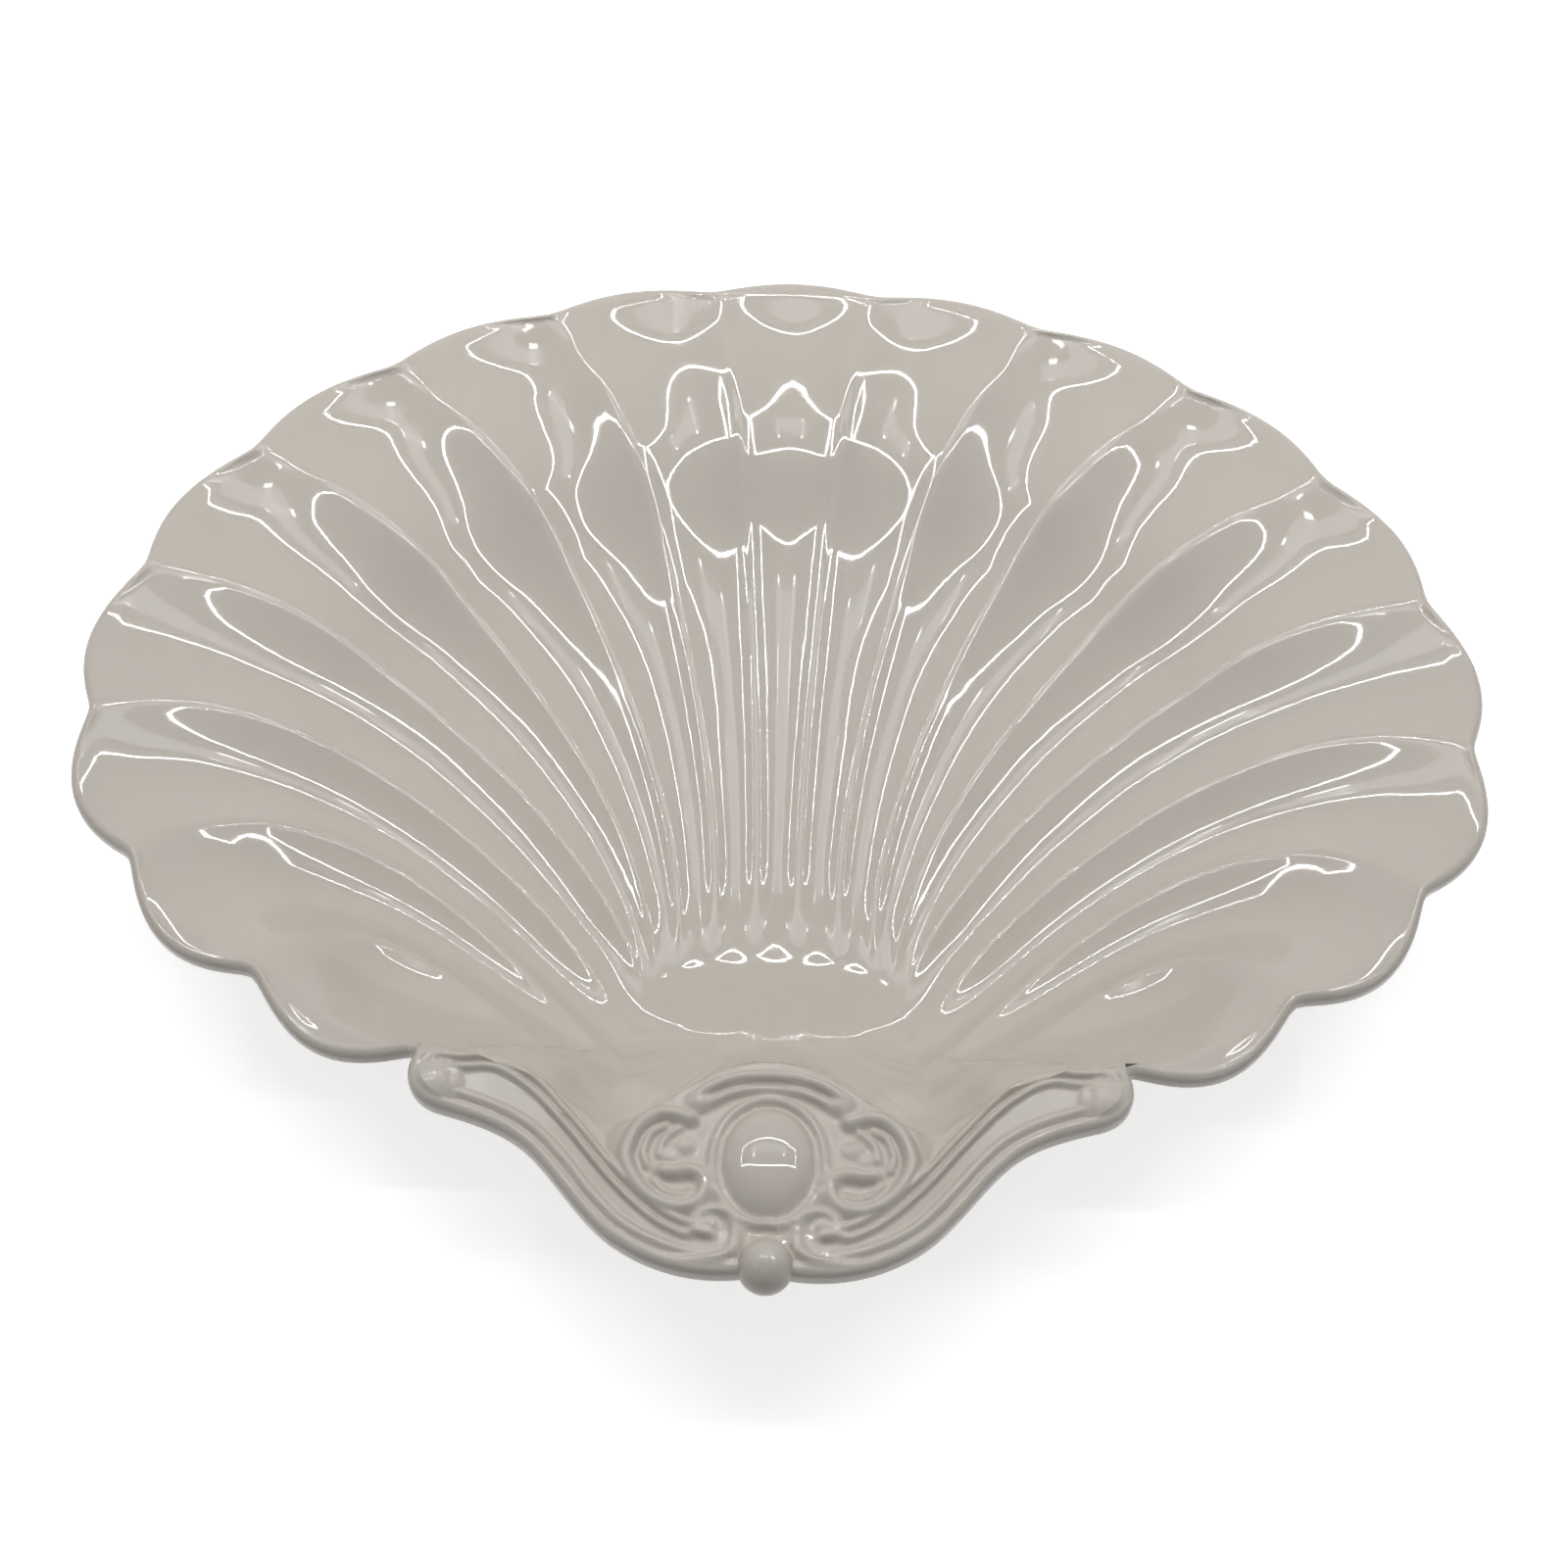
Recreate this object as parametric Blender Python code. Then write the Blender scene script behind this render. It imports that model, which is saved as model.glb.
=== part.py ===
"""Shell shaped serving platter, cast in one piece of white earthenware and glazed.

Seen from above it is a scallop: seventeen flutes fan out from a small oval well near the front
to a scalloped rim, and the hinge of the shell is a plate with scrolls, a canopy, an oval
cabochon and a round knob. Metres, +Z up. The origin is under the middle of the platter, on the
surface that it stands on. Plan places below are measured from the front tip of the knob.
"""

from math import cos, floor, hypot, pi, radians, sin, sqrt

import bmesh
import bpy
import numpy as np
from mathutils import Vector

# The oval that runs through the notches of the rim
OVAL_HALF_WIDTH = 0.1765
OVAL_BACK = 0.143          # from its widest line to the back
OVAL_FRONT = 0.113         # from its widest line to the front, behind the hinge
OVAL_Y = 0.157             # its widest line, from the knob's tip
HINGE_HALF_WIDTH = 0.084   # where the fan of lobes meets the hinge

# Lobes and flutes
LOBES = 17
BACK_BULGE = 0.0045        # how far a lobe stands outside the oval at the back
FRONT_BULGE = 0.0085       # and beside the hinge
BULGE_GROWTH = 3           # how late it grows between the two
FLUTE_DEPTH_SHARE = 0.085  # depth of a flute against its width at that place
RIM_FLUTE_SHARE = 0.70     # how much of that depth is left at the very edge
FLUTE_START = 0.25         # shares of the way out over which a flute reaches its full depth

# Section from the well to the rim
WELL_DEPTH = 0.042
SECTION = (                # share of the way out, then height over the well as a share of its depth
    (0.00, 0.000), (0.04, 0.010), (0.10, 0.040), (0.20, 0.105), (0.30, 0.176), (0.40, 0.255),
    (0.50, 0.343), (0.55, 0.395), (0.60, 0.462), (0.65, 0.557), (0.70, 0.695), (0.75, 0.817),
    (0.80, 0.881), (0.88, 0.931), (0.94, 0.945), (1.00, 1.000),
)
BORDER_START = 0.79        # where the flutes begin to grow shallower towards the rim
FRONT_BEND = 1.4           # above 1 the wall in front of the well steepens outwards

# The flat oval well and the line from it to the hinge, along which the last flutes end
WELL_HALF_WIDTH = 0.033
WELL_HALF_DEPTH = 0.013
WELL_Y = 0.096
WELL_LOBES = 9             # lobes whose flutes end at the well
SHOULDER_X = 0.041         # the corner of the hinge plate towards the bowl
SHOULDER_Y = 0.042
FRONTAL_RANGE = (0.45, 0.85)   # how far forward a direction points as the front wall takes over

# The fan's end: the last notch of the rim, where the hinge plate begins
FAN_END_Y = OVAL_Y - OVAL_FRONT * sqrt(1 - (HINGE_HALF_WIDTH / OVAL_HALF_WIDTH) ** 2)
LAST_RIB_OFFSET = (-0.012, 0.0024)   # the last rib's handle near the rim, from the fan's end
LAST_RIB_HANDLE = (HINGE_HALF_WIDTH + LAST_RIB_OFFSET[0], FAN_END_Y + LAST_RIB_OFFSET[1])

# Key ribs: rib number from the middle, then the two handles of its curve in plan,
# the first near the rim, the second near the well
KEY_RIBS = (
    (0.0, (0.000, 0.271), (0.000, 0.159)),
    (3.0, (0.069, 0.228), (0.026, 0.147)),
    (6.0, (0.115, 0.168), (0.054, 0.105)),
    (LOBES / 2, LAST_RIB_HANDLE, (0.051, 0.051)),
)

# Walls, rim and foot
WALL = 0.006
RIM_ROUND = 0.0015
FOOT_Y = 0.134
FOOT_HALF_WIDTH = 0.064
FOOT_HALF_DEPTH = 0.052
FOOT_WIDTH = 0.007
FOOT_STAND = 0.0025        # from the underside of the well to the surface it stands on
FOOT_EDGE = 0.0008
FLUTE_ALLOWANCE = 0.005    # extra wall where the smooth underside passes below the flutes

# Hinge plate: its outer edge on the right, as curves from the knob to the last lobe
HINGE_CORNERS = ((0.0, 0.0055), (0.036, 0.012), (0.056, 0.0335))
HINGE_HANDLES = (
    ((0.014, 0.002), (0.026, 0.005)),
    ((0.044, 0.018), (0.049, 0.027)),
)
EAR_CORNER = (-0.0065, -0.0143)   # the last corner and the handles round it, from the fan's end
EAR_HANDLES = (((0.062, 0.039), (-0.014, -0.0164)), ((0.001, -0.0121), (0.003, -0.0056)))
CANOPY_Y = 0.057           # the plate's edge towards the bowl, in the middle
CANOPY_HANDLES = ((0.018, 0.0580), (0.033, 0.033))
CORNER_CROWDING = 2.2      # how much closer the columns start at the plate's corners

# Relief on the hinge
KNOB_RADIUS = 0.0065
KNOB_HEIGHT = -0.0010      # its centre against the plate
CABOCHON_Y = 0.031
CABOCHON_HALF = (0.0115, 0.0140, 0.0042)
BORDER_GAP = 0.0018        # from the cabochon to the middle of its border
BORDER_RADIUS = 0.0014
REEDS = ((0.0026, 0.91), (0.0068, 0.84), (0.0110, 0.75))   # distance from the edge, upper end
REED_START = 0.09          # their lower end, as a share of the edge from the knob
REED_RADIUS = 0.0021
EAR_PLACE = (-0.004, -0.0076)     # the curl at the reeds' upper end, from the fan's end
EAR_HALF = (0.0048, 0.0034, 0.0022)
VOLUTE_X = 0.0135
VOLUTE_Y = 0.0155
VOLUTE_RADIUS = 0.0046
VOLUTE_TURNS = 1.25
VOLUTE_CLOSING = 0.72      # share of its radius that the spiral loses
VOLUTE_TUBE = 0.0011
SCROLL_POINTS = ((0.0245, 0.0445), (0.0305, 0.0420), (0.0335, 0.0330), (0.0290, 0.0235),
                 (0.0210, 0.0205), (0.0160, 0.0235), (0.0185, 0.0275))
SCROLL_STEPS = 3           # faces between two points of the scroll
SCROLL_TUBE = 0.0014
CANOPY_RIDGES = (0.0015, 0.0050)          # from the canopy's edge to each ridge
CANOPY_HALF_WIDTH = 0.020
CANOPY_DROP = 0.0095
CANOPY_TUBE = 0.0016
SINK = 0.0003              # how far the middle of each raised cord lies under the plate

# Faces
LOBE_STEPS = 6
HINGE_STEPS = 4
WELL_ROWS = (0.45, 0.80)
FAN_ROWS = (0.0, 0.16, 0.32, 0.46, 0.57, 0.65, 0.71, 0.78, 0.90)
UNDER_ROWS = (0.90, 0.78, 0.71, 0.65, 0.46)
FOOT_ROWS = (0.15, 0.35, 0.65)
PLATE_ROWS_END = 0.93      # where the plate's last row of faces lies, short of its edge
PLATE_APPROACH = 0.010     # over which the plate's rows turn square to its edge
EDGE_STEP = 0.01           # for directions along the plate's edge
PLATE_CURL = 0.33          # share of the plate over which its rows leave the canopy straight
RIM_ROWS = (0.3, 0.7)      # heights of the rim's two outer rows, as shares of the wall
ARC_SAMPLES = 400          # for the table of lengths along the rim
EDGE_SAMPLES = 60          # for the table of the bowl's upper edge
CORD_ROUNDING = 1          # points between the corners of a cord's section
SEGMENTS = 28              # round the cabochon's border; other round shapes have a share of it
DOME_SEGMENTS = 20
WELD = 0.000001
SHARP_ANGLE = 50

HALF_LOBES = LOBES / 2
GLAZE = (0.50, 0.46, 0.42, 1.0)
GLAZE_ROUGHNESS = 0.06


def smooth(low, high, x):
    """Smooth step from 0 at low to 1 at high."""
    t = min(max((x - low) / (high - low), 0.0), 1.0)
    return t * t * (3 - 2 * t)


def bezier(a, b, c, d, t):
    """Point of a cubic curve with ends a, d and handles b, c."""
    s = 1 - t
    near = Vector(a) * s ** 3 + Vector(b) * (3 * s * s * t)
    return near + Vector(c) * (3 * s * t * t) + Vector(d) * t ** 3


def through(keys, values, x):
    """The polynomial that passes through the given values at the given keys."""
    total = 0.0
    for i, (key, value) in enumerate(zip(keys, values)):
        others = [other for j, other in enumerate(keys) if j != i]
        total += value * np.prod([(x - other) / (key - other) for other in others])
    return total


def oval_at(angle):
    """Point and outward normal of the rim oval at an eccentric angle from the +X side."""
    reach = OVAL_BACK if sin(angle) > 0 else OVAL_FRONT
    point = Vector((OVAL_HALF_WIDTH * cos(angle), OVAL_Y + reach * sin(angle)))
    normal = Vector((reach * cos(angle), OVAL_HALF_WIDTH * sin(angle))).normalized()
    return point, normal


# Even steps along the oval: arc length from the fan's end on the right to the back
FAN_END_ANGLE = -np.arccos(HINGE_HALF_WIDTH / OVAL_HALF_WIDTH)
ARC_ANGLES = np.linspace(FAN_END_ANGLE, pi / 2, ARC_SAMPLES)
ARC_POINTS = np.array([oval_at(angle)[0] for angle in ARC_ANGLES])
ARC_STEPS = np.linalg.norm(np.diff(ARC_POINTS, axis=0), axis=1)
ARC_LENGTHS = np.concatenate(([0.0], np.cumsum(ARC_STEPS)))


def rim_point(lobe, bulge=1.0):
    """Point of the scalloped rim. lobe counts lobes from the middle, positive to the right."""
    length = ARC_LENGTHS[-1] * (1 - abs(lobe) / HALF_LOBES)
    point, normal = oval_at(np.interp(length, ARC_LENGTHS, ARC_ANGLES))
    within = (abs(lobe) + 0.5) % 1
    stand = BACK_BULGE + (FRONT_BULGE - BACK_BULGE) * (abs(lobe) / HALF_LOBES) ** BULGE_GROWTH
    point = point + normal * (bulge * stand * 4 * within * (1 - within))
    return Vector((point.x if lobe >= 0 else -point.x, point.y))


def rib_handles(lobe):
    """The two handles of the rib curve, smoothly between the key ribs."""
    squares = [key[0] ** 2 for key in KEY_RIBS]
    handles = []
    for which in (1, 2):
        spread = through(squares[1:], [key[which][0] / key[0] for key in KEY_RIBS[1:]], lobe ** 2)
        depth = through(squares, [key[which][1] for key in KEY_RIBS], lobe ** 2)
        handles.append(Vector((lobe * spread, depth)))
    return handles


def inner_point(lobe):
    """Where a rib starts: round the back of the well, then down the line to the hinge's corner."""
    side = 1 if lobe >= 0 else -1
    count = abs(lobe)
    if count <= WELL_LOBES / 2:
        turn = pi / 2 * count / (WELL_LOBES / 2)
        return Vector((side * WELL_HALF_WIDTH * sin(turn), WELL_Y + WELL_HALF_DEPTH * cos(turn)))
    share = (count - WELL_LOBES / 2) / (HALF_LOBES - WELL_LOBES / 2)
    start = Vector((WELL_HALF_WIDTH, WELL_Y))
    point = start.lerp(Vector((SHOULDER_X, SHOULDER_Y)), share)
    return Vector((side * point.x, point.y))


def rib_point(lobe, share):
    """Plan point on the curve from the well (share 0) to the rim (share 1)."""
    near_rim, near_well = rib_handles(lobe)
    return bezier(inner_point(lobe), near_well, near_rim, rim_point(lobe), share)


def hinge_curves():
    """The curves of the hinge plate's outer edge on the right, from the knob to the last lobe."""
    fan_end = rim_point(HALF_LOBES)
    knob_end, base, waist = (Vector(corner) for corner in HINGE_CORNERS)
    ear = fan_end + Vector(EAR_CORNER)
    to_ear, round_ear = EAR_HANDLES
    return (
        (knob_end, *HINGE_HANDLES[0], base),
        (base, *HINGE_HANDLES[1], waist),
        (waist, to_ear[0], fan_end + Vector(to_ear[1]), ear),
        (ear, fan_end + Vector(round_ear[0]), fan_end + Vector(round_ear[1]), fan_end),
    )


HINGE_CURVES = hinge_curves()


def hinge_edge(along):
    """Outer edge of the hinge plate, from -1 at its left end over the knob to 1 at its right."""
    place = min(abs(along), 1.0) * len(HINGE_CURVES)
    piece = min(int(place), len(HINGE_CURVES) - 1)
    point = bezier(*HINGE_CURVES[piece], place - piece)
    return Vector((point.x if along >= 0 else -point.x, point.y))


def hinge_inwards(along):
    """Direction in plan from the plate's outer edge onto the plate."""
    ahead = hinge_edge(along + EDGE_STEP) - hinge_edge(along - EDGE_STEP)
    return Vector((-ahead.y, ahead.x)).normalized()


def canopy_edge(along):
    """Inner edge of the hinge plate, towards the bowl, from -1 on the left to 1 on the right."""
    share = 1 - (1 - min(abs(along), 1.0)) ** CORNER_CROWDING
    point = bezier((0.0, CANOPY_Y), *CANOPY_HANDLES, (SHOULDER_X, SHOULDER_Y), share)
    return Vector((point.x if along >= 0 else -point.x, point.y))


def bowl_edge():
    """Reach of the bowl's upper edge from the well's centre, for every direction."""
    steps = np.linspace(0, 1, EDGE_SAMPLES)
    points = [rim_point(lobe, bulge=0.0) for lobe in HALF_LOBES * np.linspace(-1, 1, ARC_SAMPLES)]
    for side in (-1, 1):
        points += [rib_point(side * HALF_LOBES, share) for share in steps]
        points += [canopy_edge(side * along) for along in steps]
    table = sorted((np.arctan2(p.y - WELL_Y, p.x), hypot(p.x, p.y - WELL_Y)) for p in points)
    return np.array(table).T


EDGE_DIRECTIONS, EDGE_REACH = bowl_edge()


def spline(points, x):
    """Cubic spline through points, level at its start, with a free end."""
    keys, values = np.array(points).T
    gaps, slopes = np.diff(keys), np.diff(values) / np.diff(keys)
    middle = np.concatenate(([2 * gaps[0]], 2 * (gaps[:-1] + gaps[1:]), [2 * gaps[-1]]))
    system = np.diag(middle) + np.diag(gaps, 1) + np.diag(gaps, -1)
    bends = np.linalg.solve(system, 6 * np.diff(slopes, prepend=0.0, append=slopes[-1]))
    at = np.clip(np.searchsorted(keys, x) - 1, 0, len(gaps) - 1)
    gap, past, left = gaps[at], x - keys[at], keys[at + 1] - x
    curve = (bends[at] * left ** 3 + bends[at + 1] * past ** 3) / (6 * gap)
    low = values[at] / gap - bends[at] * gap / 6
    return curve + low * left + (values[at + 1] / gap - bends[at + 1] * gap / 6) * past


def way_out(point):
    """Share of the way from the well's edge (0) to the bowl's upper edge (1), and how frontal it is."""
    direction = np.arctan2(point.y - WELL_Y, point.x)
    reach = hypot(point.x, point.y - WELL_Y)
    well = 1 / hypot(cos(direction) / WELL_HALF_WIDTH, sin(direction) / WELL_HALF_DEPTH)
    edge = np.interp(direction, EDGE_DIRECTIONS, EDGE_REACH, period=2 * pi)
    frontal = smooth(*FRONTAL_RANGE, -sin(direction))
    return min(max((reach - well) / (edge - well), 0.0), 1.0), frontal


SECTION_WAYS = np.linspace(0, 1, EDGE_SAMPLES)
SECTION_RISES = spline(SECTION, SECTION_WAYS)


def bowl_height(point):
    """Height of the fluted bowl's ridges over a plan point, 0 at the rim."""
    way, frontal = way_out(point)
    fan = WELL_DEPTH * np.interp(way, SECTION_WAYS, SECTION_RISES)
    front = WELL_DEPTH * way ** FRONT_BEND
    return fan + (front - fan) * frontal - WELL_DEPTH


def flute_depth(lobe, share, point):
    """How far a flute lies under its ridges at this place."""
    first = floor(lobe + 0.5) - 0.5
    within = lobe - first
    width = (rib_point(first, share) - rib_point(min(first + 1, HALF_LOBES), share)).length
    way = way_out(point)[0]
    rim = 1 - (1 - RIM_FLUTE_SHARE) * smooth(BORDER_START, 1.0, share)
    start = smooth(0.0, FLUTE_START, share if abs(lobe) > WELL_LOBES / 2 else way + share)
    return FLUTE_DEPTH_SHARE * width * rim * start * 4 * within * (1 - within)


def fan_column(lobe):
    """A path from the well's centre to the rim through one lobe: a share of 0 to 2 gives a point."""
    def path(share):
        if share <= 1:
            start = Vector((0.0, WELL_Y))
            point = start.lerp(inner_point(lobe), share)
            return Vector((*point, bowl_height(point)))
        point = rib_point(lobe, share - 1)
        return Vector((*point, bowl_height(point) - flute_depth(lobe, share - 1, point)))
    return path


def hinge_column(along):
    """A path from the well's centre over the hinge plate to its outer edge."""
    def path(share):
        if share <= 1:
            point = Vector((0.0, WELL_Y)).lerp(canopy_edge(along), share)
            return Vector((*point, bowl_height(point)))
        start, edge = canopy_edge(along), hinge_edge(along)
        before_edge = edge + hinge_inwards(along) * PLATE_APPROACH
        point = bezier(start, start.lerp(edge, PLATE_CURL), before_edge, edge, (share - 1) * PLATE_ROWS_END)
        return Vector((*point, 0.0))
    return path


def platter_columns():
    """All columns and their rim points, once round the platter from the right end of the fan."""
    fan_count = LOBES * LOBE_STEPS
    hinge_count = 2 * len(HINGE_CURVES) * HINGE_STEPS
    fan = [HALF_LOBES - k / LOBE_STEPS for k in range(fan_count + 1)]
    hinge = [-1 + 2 * k / hinge_count for k in range(1, hinge_count)]
    columns = [fan_column(lobe) for lobe in fan] + [hinge_column(along) for along in hinge]
    edges = [column(2.0) for column in columns[:len(fan)]]
    edges += [Vector((*hinge_edge(along), 0.0)) for along in hinge]
    return columns, edges


def foot_point(towards, inset, level=None):
    """Point on the foot's oval in the direction of a plan point. Without a level, under the bowl."""
    way = Vector((towards.x, towards.y - FOOT_Y))
    reach = 1 / hypot(way.x / (FOOT_HALF_WIDTH - inset), way.y / (FOOT_HALF_DEPTH - inset))
    point = Vector((0.0, FOOT_Y)) + way * reach
    return Vector((*point, bowl_height(point) - WALL if level is None else level))


def column_section(path, edge, before, after):
    """One closed section, from the well's centre over the rim and back to the centre below."""
    foot_level = -WELL_DEPTH - WALL - FOOT_STAND
    along_rim = (after - before).to_2d().normalized()
    inner_edge = edge.to_2d() + Vector((-along_rim.y, along_rim.x)) * RIM_ROUND
    section = [path(share) for share in WELL_ROWS]
    section += [path(1 + share) for share in FAN_ROWS]
    section.append(Vector((*inner_edge, edge.z)))
    section += [Vector((*edge.to_2d(), edge.z - WALL * share)) for share in RIM_ROWS]
    section.append(Vector((*inner_edge, edge.z - WALL)))
    section += [path(1 + share) - Vector((0, 0, WALL)) for share in UNDER_ROWS]
    towards = section[-1]
    root = foot_point(towards, 0.0)
    for share in FOOT_ROWS:
        point = towards.to_2d().lerp(root.to_2d(), share)
        section.append(Vector((*point, bowl_height(point) - WALL - FLUTE_ALLOWANCE * (1 - share ** 2))))
    section.append(root)
    section.append(foot_point(towards, 0.0, foot_level + FOOT_EDGE))
    section.append(foot_point(towards, FOOT_EDGE, foot_level))
    section.append(foot_point(towards, FOOT_WIDTH - FOOT_EDGE, foot_level))
    section.append(foot_point(towards, FOOT_WIDTH, foot_level + FOOT_EDGE))
    section.append(foot_point(towards, FOOT_WIDTH))
    section.append(foot_point(towards, FOOT_HALF_DEPTH / 2))
    return section


def platter_body(material):
    """Loft of the sections: the fluted wall, the hinge plate, the rounded rim and the foot."""
    mesh = bmesh.new()
    columns, edges = platter_columns()
    around = zip(columns, edges, edges[-1:] + edges[:-1], edges[1:] + edges[:1])
    rings = zip(*[column_section(*neighbours) for neighbours in around])
    rings = [[mesh.verts.new(point) for point in ring] for ring in rings]
    for upper, lower in zip(rings, rings[1:]):
        for k in range(len(upper)):
            nxt = (k + 1) % len(upper)
            mesh.faces.new((upper[k], lower[k], lower[nxt], upper[nxt]))
    well_centre = Vector((0.0, WELL_Y, -WELL_DEPTH))
    foot_plan = Vector((0.0, FOOT_Y))
    foot_centre = Vector((*foot_plan, bowl_height(foot_plan) - WALL))
    for ring, centre_point in ((rings[0], well_centre), (rings[-1], foot_centre)):
        centre = mesh.verts.new(centre_point)
        for k in range(len(ring)):
            mesh.faces.new((ring[k], ring[(k + 1) % len(ring)], centre))
    bmesh.ops.recalc_face_normals(mesh, faces=mesh.faces)
    return new_object("shell_platter", mesh, material)


def new_object(name, mesh, material):
    """Object in the platter's collection from a bmesh."""
    data = bpy.data.meshes.new(name)
    mesh.to_mesh(data)
    mesh.free()
    data.materials.append(material)
    item = bpy.data.objects.new(name, data)
    platter_collection.objects.link(item)
    return item


def raised_cord(points, radius, closed=False):
    """A round cord laid along plan points at the plate's height, as a closed mesh to be joined."""
    curve = bpy.data.curves.new("cord", "CURVE")
    curve.dimensions = "3D"
    curve.bevel_depth = radius
    curve.bevel_resolution = CORD_ROUNDING
    curve.use_fill_caps = True
    line = curve.splines.new("POLY")
    line.points.add(len(points) - 1)
    for slot, point in zip(line.points, points):
        slot.co = (point[0], point[1], -SINK, 1.0)
    line.use_cyclic_u = closed
    guide = bpy.data.objects.new("cord", curve)
    relief_collection.objects.link(guide)
    bpy.context.view_layer.update()
    drawn = guide.evaluated_get(bpy.context.evaluated_depsgraph_get())
    solid = bpy.data.meshes.new_from_object(drawn)
    welded = bmesh.new()
    welded.from_mesh(solid)
    bmesh.ops.remove_doubles(welded, verts=welded.verts, dist=WELD)
    welded.to_mesh(solid)
    welded.free()
    cord = bpy.data.objects.new("cord", solid)
    cord.matrix_world = guide.matrix_world
    relief_collection.objects.link(cord)
    bpy.data.objects.remove(guide)
    return cord


def raised_dome(name, centre, half_sizes, segments):
    """An ellipsoid half sunk in the plate."""
    mesh = bmesh.new()
    bmesh.ops.create_uvsphere(mesh, u_segments=segments, v_segments=segments // 2, radius=1.0)
    for vert in mesh.verts:
        vert.co = Vector([c * h for c, h in zip(vert.co, half_sizes)]) + Vector(centre)
    data = bpy.data.meshes.new(name)
    mesh.to_mesh(data)
    mesh.free()
    dome = bpy.data.objects.new(name, data)
    relief_collection.objects.link(dome)
    return dome


def offset_edge(side, offset, end):
    """Points of the hinge plate's edge moved inwards, from the ear towards the knob."""
    points = []
    for k in range(SEGMENTS + 1):
        along = end + (REED_START - end) * k / SEGMENTS
        point = hinge_edge(along) + hinge_inwards(along) * offset
        points.append((side * point.x, point.y))
    return points


def volute(side):
    """Spiral that winds up at the lower end of the reeds, beside the knob."""
    points = []
    for k in range(SEGMENTS // 2 + 1):
        share = k / (SEGMENTS // 2)
        turn = -pi / 2 - 2 * pi * VOLUTE_TURNS * share
        radius = VOLUTE_RADIUS * (1 - VOLUTE_CLOSING * share)
        points.append((side * (VOLUTE_X - radius * cos(turn)), VOLUTE_Y + radius * sin(turn)))
    return points


def smooth_line(points, per_piece):
    """Catmull-Rom curve through a few plan points."""
    ends = [2 * Vector(points[0]) - Vector(points[1]), 2 * Vector(points[-1]) - Vector(points[-2])]
    path = [ends[0], *map(Vector, points), ends[1]]
    line = []
    for before, a, b, after in zip(path, path[1:], path[2:], path[3:]):
        first, second = a + (b - before) / 6, b - (after - a) / 6
        line += [bezier(a, first, second, b, k / per_piece) for k in range(per_piece)]
    return line + [path[-2]]


def hinge_relief():
    """The scrolls, canopy, cabochon and knob of the hinge, as solids to be joined to the plate."""
    solids = [raised_dome("knob", (0, KNOB_RADIUS, KNOB_HEIGHT), [KNOB_RADIUS] * 3, SEGMENTS // 2)]
    solids.append(raised_dome("cabochon", (0, CABOCHON_Y, -SINK), CABOCHON_HALF, DOME_SEGMENTS))
    across, deep = CABOCHON_HALF[0] + BORDER_GAP, CABOCHON_HALF[1] + BORDER_GAP
    turns = [2 * pi * k / SEGMENTS for k in range(SEGMENTS)]
    ring = [(across * cos(turn), CABOCHON_Y + deep * sin(turn)) for turn in turns]
    solids.append(raised_cord(ring, BORDER_RADIUS, closed=True))
    for drop in CANOPY_RIDGES:
        spread = np.linspace(-1, 1, SEGMENTS // 2 + 1)
        arch = [(CANOPY_HALF_WIDTH * x, CANOPY_Y - drop - CANOPY_DROP * x ** 4) for x in spread]
        solids.append(raised_cord(arch, CANOPY_TUBE))
    for side in (-1, 1):
        solids += [raised_cord(offset_edge(side, *reed), REED_RADIUS) for reed in REEDS]
        solids.append(raised_cord(volute(side), VOLUTE_TUBE))
        scroll = [(side * point.x, point.y) for point in smooth_line(SCROLL_POINTS, SCROLL_STEPS)]
        solids.append(raised_cord(scroll, SCROLL_TUBE))
        ear = rim_point(HALF_LOBES) + Vector(EAR_PLACE)
        ear_middle = (side * ear.x, ear.y, -SINK)
        solids.append(raised_dome("ear_curl", ear_middle, EAR_HALF, SEGMENTS // 2))
    return solids


def join(body, solids):
    """Union of the body with all the solids of the relief."""
    for solid in solids:
        solid.hide_render = True
        solid.display_type = "WIRE"
    union = body.modifiers.new("hinge_relief", "BOOLEAN")
    union.operation = "UNION"
    union.solver = "EXACT"
    union.operand_type = "COLLECTION"
    union.collection = relief_collection


def glaze():
    """Clear glossy glaze over a warm white body."""
    material = bpy.data.materials.new("white_glaze")
    material.use_nodes = True
    shader = material.node_tree.nodes["Principled BSDF"]
    shader.inputs["Base Color"].default_value = GLAZE
    shader.inputs["Roughness"].default_value = GLAZE_ROUGHNESS
    shader.inputs["Metallic"].default_value = 0.0
    return material


for item in list(bpy.data.objects):
    bpy.data.objects.remove(item)
platter_collection = bpy.data.collections.new("shell_shaped_platter")
relief_collection = bpy.data.collections.new("hinge_relief")
bpy.context.scene.collection.children.link(platter_collection)
bpy.context.scene.collection.children.link(relief_collection)

body = platter_body(glaze())
solids = hinge_relief()
join(body, solids)
depth = OVAL_Y + OVAL_BACK + BACK_BULGE
lift = Vector((0.0, -depth / 2, WELL_DEPTH + WALL + FOOT_STAND))
for item in [body, *solids]:
    item.location += lift
body.data.shade_smooth()
body.data.set_sharp_from_angle(angle=radians(SHARP_ANGLE))
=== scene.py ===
"""Glazed surface of the shell shaped platter, and the studio round it. Metres, +Z up."""

from math import cos, pi, radians, sin, tan

import bpy
import numpy as np
from mathutils import Matrix, Vector


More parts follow.
